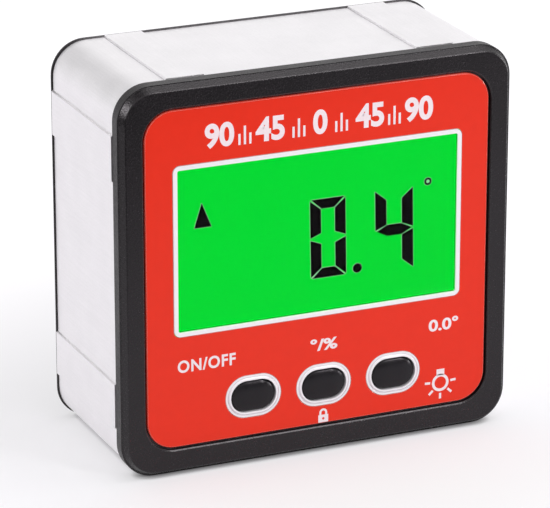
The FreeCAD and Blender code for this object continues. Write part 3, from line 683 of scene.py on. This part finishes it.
def cell_finish(name, band_start, band_end):
    """Jacket of a cell: dark, with a copper band by its positive end and bare steel at both ends."""
    jacket_color = (0.018, 0.024, 0.03, 1)
    band_color = (0.42, 0.15, 0.05, 1)
    band_metal = 0.7
    steel_color = (0.62, 0.6, 0.57, 1)
    finish, tree, shader, place = new_finish(name)
    position = add(tree, "ShaderNodeSeparateXYZ")
    tree.links.new(place, position.inputs[0])
    along = position.outputs["X"]
    band = math_node(tree, "MULTIPLY", math_node(tree, "GREATER_THAN", along, band_start),
                     math_node(tree, "LESS_THAN", along, band_end))
    jacket = mixed(tree, band, jacket_color, band_color)
    cell_low, cell_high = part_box("battery_lower")
    half = (cell_high.x - cell_low.x) / 2 - cell_end
    steel = math_node(tree, "GREATER_THAN", math_node(tree, "ABSOLUTE", along), half)
    shade = mixed(tree, steel, jacket, steel_color)
    texture = surface(tree, MOULDED_GRAIN, place, "Grains per metre", shade, roughness=0.3, rate=1500.0,
                      variation=0.04)
    tree.links.new(texture.outputs["Color"], shader.inputs["Base Color"])
    tree.links.new(texture.outputs["Roughness"], shader.inputs["Roughness"])
    tree.links.new(math_node(tree, "MAXIMUM", steel, math_node(tree, "MULTIPLY", band, band_metal)),
                   shader.inputs["Metallic"])
    bumped(tree, shader, texture.outputs["Height"], depth=0.001 * MM)
    return finish


def board_finish():
    """Green laminate with darker bare strips between the wider areas of copper under its lacquer."""
    finish, tree, shader, place = new_finish("board_laminate")
    tracks = add(tree, "ShaderNodeTexBrick")
    tracks.inputs["Scale"].default_value = 180.0
    tracks.inputs["Mortar Size"].default_value = 0.03
    tracks.inputs["Color1"].default_value = (0.008, 0.13, 0.045, 1)
    tracks.inputs["Color2"].default_value = (0.01, 0.16, 0.055, 1)
    tracks.inputs["Mortar"].default_value = (0.004, 0.06, 0.025, 1)
    turned = add(tree, "ShaderNodeMapping")
    turned.inputs["Rotation"].default_value = (math.pi / 2, 0, 0)
    tree.links.new(place, turned.inputs["Vector"])
    tree.links.new(turned.outputs["Vector"], tracks.inputs["Vector"])
    texture = surface(tree, MOULDED_GRAIN, place, "Grains per metre", tracks.outputs["Color"], roughness=0.3,
                      rate=2500.0, variation=0.04)
    tree.links.new(texture.outputs["Color"], shader.inputs["Base Color"])
    tree.links.new(texture.outputs["Roughness"], shader.inputs["Roughness"])
    bumped(tree, shader, tracks.outputs["Fac"], depth=0.02 * MM)
    return finish


BLACK_MOULDING = {
    "grains": 4200.0, "variation": 0.4, "specular": 0.36, "tint": (1.0, 0.93, 0.98),
    # Paler edges of the black mouldings: a painted highlight
    "highlight_color": (0.14, 0.14, 0.142), "highlight_width": 0.08 * MM, "highlight_strength": 0.7,
    "edge_radius": 0.05 * MM, "front_share": 0.4,
}
MOULDED = {
    "bezel_plastic": dict(BLACK_MOULDING, color=(0.0075, 0.0064, 0.0074), roughness=0.22, depth=0.06 * MM,
                          side_roughness=0.2),
    "cover_plastic": dict(BLACK_MOULDING, color=(0.008, 0.0068, 0.0078), roughness=0.4, depth=0.05 * MM,
                          side_roughness=0.1),
    # Red panel: its paler edges are a painted highlight, its darker crevices a painted shade
    "red_panel": dict(color=(0.83, 0.025, 0.006), roughness=0.2, grains=700.0, depth=0.0006 * MM,
                      variation=0.012, specular=0.3, highlight_color=(0.9, 0.5, 0.42), highlight_width=0.14 * MM,
                      highlight_strength=0.9, edge_radius=0.1 * MM, crevice_color=(0.25, 0.01, 0.006),
                      crevice_reach=0.2 * MM),
    "white_plastic": dict(color=(0.93, 0.89, 0.93), roughness=0.25, grains=2000.0, depth=0.0005 * MM,
                          variation=0.012, edge_radius=0.08 * MM),
    "lcd_glass": dict(color=(0.5, 0.7, 0.55), roughness=0.08, grains=500.0, depth=0.0002 * MM,
                      variation=0.01),
    "light_guide": dict(color=(0.7, 0.9, 0.72), roughness=0.2, grains=1500.0, depth=0.01 * MM,
                        variation=0.02),
    "led_green": dict(color=(0.55, 0.85, 0.55), roughness=0.3, grains=1500.0, depth=0.002 * MM,
                      variation=0.02),
    "connector_silicone": dict(color=(0.6, 0.55, 0.42), roughness=0.7, grains=4000.0, depth=0.01 * MM,
                               variation=0.04),
    "holder_plastic": dict(color=(0.8, 0.8, 0.78), roughness=0.5, grains=3000.0, depth=0.004 * MM,
                           variation=0.02),
    "key_plastic": dict(color=(0.003, 0.0026, 0.0036), roughness=0.2, grains=1200.0, depth=0.0006 * MM,
                        variation=0.2, specular=0.3, tint=(1.0, 0.93, 1.0), edge_radius=0.5 * MM),
    "switch_plastic": dict(color=(0.03, 0.03, 0.03), roughness=0.5, grains=3000.0, depth=0.004 * MM,
                           variation=0.1),
    "chip_plastic": dict(color=(0.02, 0.02, 0.022), roughness=0.6, grains=6000.0, depth=0.006 * MM,
                         variation=0.1),
    "small_parts": dict(color=(0.36, 0.27, 0.19), roughness=0.5, grains=5000.0, depth=0.003 * MM,
                        variation=0.08),
    "print_white": dict(color=(0.93, 0.8, 0.84), roughness=0.45, grains=3000.0, depth=0.001 * MM,
                        variation=0.02),
    "figure_black": dict(color=(0.002, 0.001, 0.002), roughness=0.5, grains=2000.0, depth=0.0005 * MM,
                         variation=0.2, specular=0.0),
}
METALS = {
    # Aluminium frame: the darker lines at the foot of its steps are a painted shade, stronger on the top
    "frame_aluminium": dict(color=(0.86, 0.84, 0.86), roughness=0.4, variation=0.018, streaks=5000.0,
                            depth=0.002 * MM, crevice_color=(0.3, 0.29, 0.3), crevice_reach=0.14 * MM,
                            side_strength=0.45, top_strength=1.65, top_height=54.0 * MM),
    "crystal_can": dict(color=(0.7, 0.7, 0.7), roughness=0.3, variation=0.02),
    "screw_steel": dict(color=(0.42, 0.42, 0.43), roughness=0.35, variation=0.03),
    "magnet_nickel": dict(color=(0.72, 0.7, 0.67), roughness=0.25, variation=0.02),
    "contact_nickel": dict(color=(0.75, 0.73, 0.69), roughness=0.28, variation=0.02),
    "solder": dict(color=(0.7, 0.7, 0.72), roughness=0.25, variation=0.03, streaks=3000.0, depth=0.002 * MM),
}
FINISHES = {name: moulded(name, **look) for name, look in MOULDED.items()}
FINISHES.update({name: drawn_metal(name, **look) for name, look in METALS.items()})
FINISHES["clear_window"] = window_finish()
FINISHES["board_laminate"] = board_finish()
FINISHES["display_green"] = lit_finish("display_green", patches=60.0, dim=(0.0, 0.675, 0.028, 1),
                                       bright=(0.0, 0.715, 0.031, 1))
FINISHES["figure_edge"] = lit_finish("figure_edge", patches=500.0, dim=(0.2, 0.62, 0.25, 1),
                                     bright=(0.3, 0.68, 0.36, 1))
CELL_FINISHES = {name: cell_finish(*settings) for name, settings in cells.items()}


def dress_nodes():
    """Gives each CAD piece the finish of its slot, and each cell a jacket of its own."""
    for row in frame["record"]["subparts"]:
        name = row["node"]
        nodes[name].data.materials.clear()
        nodes[name].data.materials.append(CELL_FINISHES.get(name) or FINISHES[row["material_slot"]])


# Prints on the panel

def print_on_panel(piece, name):
    finish_piece(piece, name, "case", FINISHES["print_white"])


def placed(signs):
    """Applies each sign's own place, so that signs with different scales can be joined."""
    for sign in signs:
        choose(sign)
        bpy.ops.object.transform_apply(location=True, rotation=True, scale=True)
    return signs


def make_scale_print():
    """Numerals with graduation ticks between them, all on one line."""
    signs = []
    ticks = []
    for order, numeral in enumerate(scale_numerals):
        x = scale_middle + (order - (len(scale_numerals) - 1) / 2) * scale_pitch
        half = len(numeral) * digit_width / 2
        signs.append(words(numeral, (x - half, x + half, scale_base, scale_base + numeral_height),
                           panel_face, print_thickness, numeral_bold))
        if order == len(scale_numerals) - 1:
            continue
        gap_middle = x + scale_pitch / 2 + (len(numeral) - len(scale_numerals[order + 1])) * digit_width / 4
        for tick in range(ticks_between):
            tick_x = gap_middle + (tick - (ticks_between - 1) / 2) * tick_pitch
            tall = long_tick_height if tick == (ticks_between - 1) / 2 else tick_height
            ticks.append(rectangle(tick_x - tick_width / 2, tick_x + tick_width / 2,
                                   scale_base, scale_base + tall))
    signs.append(sheet(ticks, panel_face, print_thickness))
    print_on_panel(joined(placed(signs)), "scale_print")


def make_key_prints():
    print_on_panel(words("ON/OFF", power_print_box, panel_face, print_thickness, word_bold, word_spacing),
                   "power_key_print")
    print_on_panel(words("°/%", slope_print_box, panel_face, print_thickness, sign_bold), "slope_print")
    print_on_panel(words("0.0°", zero_print_box, panel_face, print_thickness, sign_bold), "zero_key_print")


def make_lock_print():
    """Padlock for the hold key: a body with a keyhole under an arch."""
    x, z = lock_middle
    base = z - (lock_body_height + lock_arch_height) / 2
    top = base + lock_body_height
    body = rectangle(x - lock_width / 2, x + lock_width / 2, base, top)
    keyhole = circle((x, base + lock_body_height / 2), keyhole_radius, keyhole_points)
    outer = lock_width / 2 - lock_arch_bar / 2
    inner = outer - lock_arch_bar
    spring = top + lock_arch_height - outer
    turns = [math.pi * order / lock_arch_steps for order in range(lock_arch_steps + 1)]
    arch = [(x + outer, top)]
    arch += [(x + outer * math.cos(turn), spring + outer * math.sin(turn)) for turn in turns]
    arch += [(x - outer, top), (x - inner, top)]
    arch += [(x - inner * math.cos(turn), spring + inner * math.sin(turn)) for turn in turns]
    arch += [(x + inner, top)]
    print_on_panel(sheet([body, keyhole, arch], panel_face, print_thickness), "hold_key_print")


def make_lamp_print():
    """Lamp for the backlight: a ring with a cap, and five rays round its lower half."""
    x, z = lamp_middle
    cap_low = z + lamp_cap_rise
    cap = rectangle(x - lamp_cap_width / 2, x + lamp_cap_width / 2, cap_low, cap_low + lamp_cap_height)
    rays = [spoke(lamp_middle, lamp_ray_start, lamp_ray_length, lamp_ray_width, degrees)
            for degrees in lamp_ray_turns]
    ring = [circle(lamp_middle, lamp_radius), circle(lamp_middle, lamp_radius - lamp_ring)]
    parts = [sheet(ring, panel_face, print_thickness), sheet([cap] + rays, panel_face, print_thickness)]
    print_on_panel(joined(placed(parts)), "lamp_print")


# Figures of the display

def digit_bars(box, lit):
    """Outlines of the lit bars of a digit, named a to g from the top clockwise, with g in the middle."""
    left, right, low, high = box
    waist = (low + high) / 2
    upright_bar = (high - low) * upright_share
    level_bar = (high - low) * level_share
    half_waist = (high - low) * waist_share / 2
    inner_left = left + upright_bar
    inner_right = right - upright_bar
    level_left = inner_left + bar_gap / 2
    level_right = inner_right - bar_gap / 2
    bars = {
        "a": [(left + bar_corner, high), (right - bar_corner, high),
              (level_right, high - level_bar), (level_left, high - level_bar)],
        "d": [(left + bar_corner, low), (level_left, low + level_bar),
              (level_right, low + level_bar), (right - bar_corner, low)],
        "f": [(left, high - bar_gap), (inner_left, high - level_bar - bar_gap / 2),
              (inner_left, waist + half_waist), (left, waist + bar_gap)],
        "b": [(right, high - bar_gap), (right, waist + bar_gap), (inner_right, waist + half_waist),
              (inner_right, high - level_bar - bar_gap / 2)],
        "e": [(left, waist - bar_gap), (inner_left, waist - half_waist),
              (inner_left, low + level_bar + bar_gap / 2), (left, low + bar_gap)],
        "c": [(right, waist - bar_gap), (right, low + bar_gap),
              (inner_right, low + level_bar + bar_gap / 2), (inner_right, waist - half_waist)],
        "g": [(left + bar_corner, waist), (level_left, waist + half_waist - bar_gap / 4),
              (level_right, waist + half_waist - bar_gap / 4), (right - bar_corner, waist),
              (level_right, waist - half_waist + bar_gap / 4),
              (level_left, waist - half_waist + bar_gap / 4)],
    }
    return [[(x - (z - low) * figure_lean, z) for x, z in bars[name]] for name in lit]


def make_display_figures():
    """Black figures with softer edges behind them, in the room between the film and the window."""
    outlines = digit_bars(zero_digit_box, "abcdef") + digit_bars(four_digit_box, "bcfg")
    outlines += [circle(dot_middle, dot_radius), arrow_points]
    degree = [circle(degree_middle, degree_radius), circle(degree_middle, degree_hole)]
    room = film_face - window_rear
    figure_face = film_face - min(figure_edge_thickness, room * edge_room_share)
    figures = sheet(outlines + degree, figure_face, figure_thickness)
    finish_piece(figures, "display_figures", "case", FINISHES["figure_black"])
    edge_outlines = [grown(points, figure_edge_width) for points in outlines + degree[:1]]
    edges = sheet(edge_outlines, film_face, figure_edge_thickness)
    finish_piece(edges, "display_figure_edges", "case", FINISHES["figure_edge"])


# Solder on the front of the board, where the legs of the switches end

def make_solder_joint(x, z):
    """Low dome: a ball cut at its middle and pressed flat on the board.

    Corners less than 0.1 mm past the cut stay, and reach 0.04 mm into the board after the press.
    """
    foot = (x, board_front, z)
    deselect_all()
    bpy.ops.mesh.primitive_uv_sphere_add(segments=solder_segments, ring_count=solder_rings,
                                         radius=solder_width / 2, location=foot)
    joint = bpy.context.active_object
    bpy.ops.object.mode_set(mode="EDIT")
    bpy.ops.mesh.select_all(action="SELECT")
    bpy.ops.mesh.bisect(plane_co=foot, plane_no=(0, 1, 0), use_fill=True, clear_outer=True)
    bpy.ops.mesh.select_all(action="SELECT")
    bpy.ops.transform.resize(value=(1.0, 2 * solder_height / solder_width, solder_squeeze),
                             center_override=foot)
    bpy.ops.mesh.normals_make_consistent(inside=False)
    bpy.ops.object.mode_set(mode="OBJECT")
    bpy.ops.object.shade_smooth_by_angle(angle=smooth_angle)
    return joint


def make_solder():
    """Four joints for each switch, which lies behind its key. The switches have one size."""
    switch_low, switch_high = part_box("switch_bodies")
    last_low, last_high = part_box("zero_key")
    reach_x = switch_high.x - (last_low.x + last_high.x) / 2 + solder_width / 2
    reach_z = (switch_high.z - switch_low.z) / 2 - switch_leg_inset
    joints = []
    for name in ("power_key", "hold_key", "zero_key"):
        low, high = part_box(name)
        x = (low.x + high.x) / 2
        z = (low.z + high.z) / 2
        for side in (-1, 1):
            for end in (-1, 1):
                joints.append(make_solder_joint(x + side * reach_x, z + end * reach_z))
    finish_piece(joined(joints), "switch_solder", "case", FINISHES["solder"])


# Stage, light and camera

def seen_directly(tree):
    """1 for a ray of the camera, also where metal or glass shows what is behind it, and 0 for other rays."""
    path = add(tree, "ShaderNodeLightPath")
    direct = math_node(tree, "MAXIMUM", path.outputs["Is Camera Ray"], path.outputs["Is Glossy Ray"])
    return math_node(tree, "MAXIMUM", direct, path.outputs["Is Transmission Ray"])


def make_floor():
    """White floor that glows more further out, which paints a shadow round the object, and is darker in the
    narrow gap under it, a painted contact shadow.

    A glossy ray sees an even glow, darker in front.
    """
    deselect_all()
    bpy.ops.mesh.primitive_plane_add(size=floor_size, location=(0, 0, 0))
    floor = bpy.context.active_object
    floor.name = "floor"
    finish, tree, shader, place = new_finish("floor_white")
    shader.inputs["Roughness"].default_value = 0.9
    shader.inputs["Specular IOR Level"].default_value = 0.0
    shader.inputs["Emission Color"].default_value = (1, 1, 1, 1)
    position = add(tree, "ShaderNodeSeparateXYZ")
    tree.links.new(place, position.inputs[0])
    across = math_node(tree, "MULTIPLY", position.outputs["X"], floor_front_slant)
    depth = math_node(tree, "ADD", position.outputs["Y"], across)
    distance = math_node(tree, "SUBTRACT", floor_front_start, depth)
    fall = add(tree, "ShaderNodeMapRange", interpolation_type="SMOOTHSTEP")
    fall.inputs["From Max"].default_value = floor_front_start - floor_front_end
    fall.inputs["To Max"].default_value = floor_front_fall
    tree.links.new(distance, fall.inputs["Value"])
    path = add(tree, "ShaderNodeLightPath")
    dimming = math_node(tree, "MULTIPLY", path.outputs["Is Glossy Ray"], fall.outputs["Result"])
    share = math_node(tree, "SUBTRACT", 1.0, dimming)
    white = add(tree, "ShaderNodeRGB")
    white.outputs[0].default_value = floor_color
    tree.links.new(tinted(tree, white.outputs[0], share), shader.inputs["Base Color"])
    away = add(tree, "ShaderNodeVectorMath", operation="LENGTH")
    tree.links.new(place, away.inputs[0])
    # Glow lower near the object: a painted shadow round it
    brighter = add(tree, "ShaderNodeMapRange", interpolation_type="SMOOTHSTEP")
    brighter.inputs["From Min"].default_value = floor_far_start
    brighter.inputs["From Max"].default_value = floor_far_end
    brighter.inputs["To Min"].default_value = floor_glow
    brighter.inputs["To Max"].default_value = floor_far_glow
    tree.links.new(away.outputs["Value"], brighter.inputs["Value"])
    outright = math_node(tree, "SUBTRACT", 1.0, path.outputs["Is Glossy Ray"])
    mirrored = math_node(tree, "MULTIPLY", path.outputs["Is Glossy Ray"], floor_mirror_glow)
    level = math_node(tree, "MULTIPLY_ADD", outright, brighter.outputs["Result"], mirrored)
    direct = math_node(tree, "MULTIPLY", seen_directly(tree), level)
    glow = math_node(tree, "MULTIPLY", direct, share)
    # Painted contact shadow: less glow where the object is near the floor
    openness = add(tree, "ShaderNodeAmbientOcclusion", samples=openness_samples)
    openness.inputs["Distance"].default_value = contact_reach
    glow_with_painted_contact_shadow = math_node(tree, "MULTIPLY", glow, openness.outputs["AO"])
    tree.links.new(glow_with_painted_contact_shadow, shader.inputs["Emission Strength"])
    floor.data.materials.append(finish)


def make_world():
    """White studio with its darker gaps and brighter cards, which only a glossy ray shows."""
    world = bpy.data.worlds.new("studio")
    world.use_nodes = True
    tree = world.node_tree
    background = tree.nodes["Background"]
    background.inputs["Color"].default_value = (1, 1, 1, 1)
    around = add(tree, "ShaderNodeTexCoord").outputs["Generated"]
    path = add(tree, "ShaderNodeLightPath")
    strength = spread(tree, seen_directly(tree), sky_light, 1.0)
    for direction, edge, change in studio_cards.values():
        towards = add(tree, "ShaderNodeVectorMath", operation="DOT_PRODUCT")
        tree.links.new(around, towards.inputs[0])
        towards.inputs[1].default_value = Vector(direction).normalized()
        nearness = add(tree, "ShaderNodeMapRange", interpolation_type="SMOOTHSTEP")
        nearness.inputs["From Min"].default_value = edge
        tree.links.new(towards.outputs["Value"], nearness.inputs["Value"])
        card = math_node(tree, "MULTIPLY", nearness.outputs["Result"], change)
        mirrored = math_node(tree, "MULTIPLY", card, path.outputs["Is Glossy Ray"])
        strength = math_node(tree, "ADD", strength, mirrored)
    tree.links.new(math_node(tree, "MAXIMUM", strength, 0.0), background.inputs["Strength"])
    bpy.context.scene.world = world


def make_lamp(name, place, size, watts):
    lamp = bpy.data.lights.new(name, "AREA")
    lamp.shape = "SQUARE"
    lamp.size = size
    lamp.energy = watts
    holder = bpy.data.objects.new(name, lamp)
    bpy.context.scene.collection.objects.link(holder)
    holder.location = place
    holder.rotation_euler = (Vector(lamp_target) - Vector(place)).to_track_quat("-Z", "Y").to_euler()


def make_camera():
    camera = bpy.data.cameras.new("camera")
    camera.sensor_width = camera_sensor
    camera.lens = focal_pixels / image_width * camera_sensor
    camera.clip_start = 0.01
    holder = bpy.data.objects.new("camera", camera)
    bpy.context.scene.collection.objects.link(holder)
    level = math.cos(camera_elevation)
    towards = Vector((math.sin(camera_azimuth) * level, math.cos(camera_azimuth) * level,
                      -math.sin(camera_elevation)))
    holder.location = Vector(camera_target) * MM - towards * camera_distance
    holder.rotation_euler = (math.pi / 2 - camera_elevation, 0, -camera_azimuth)
    bpy.context.scene.camera = holder


dress_nodes()
make_scale_print()
make_key_prints()
make_lock_print()
make_lamp_print()
make_display_figures()
make_solder()
make_floor()
make_world()
for lamp_name, lamp_settings in lamps.items():
    make_lamp(lamp_name, *lamp_settings)
make_camera()

bpy.context.scene.view_settings.view_transform = "Standard"
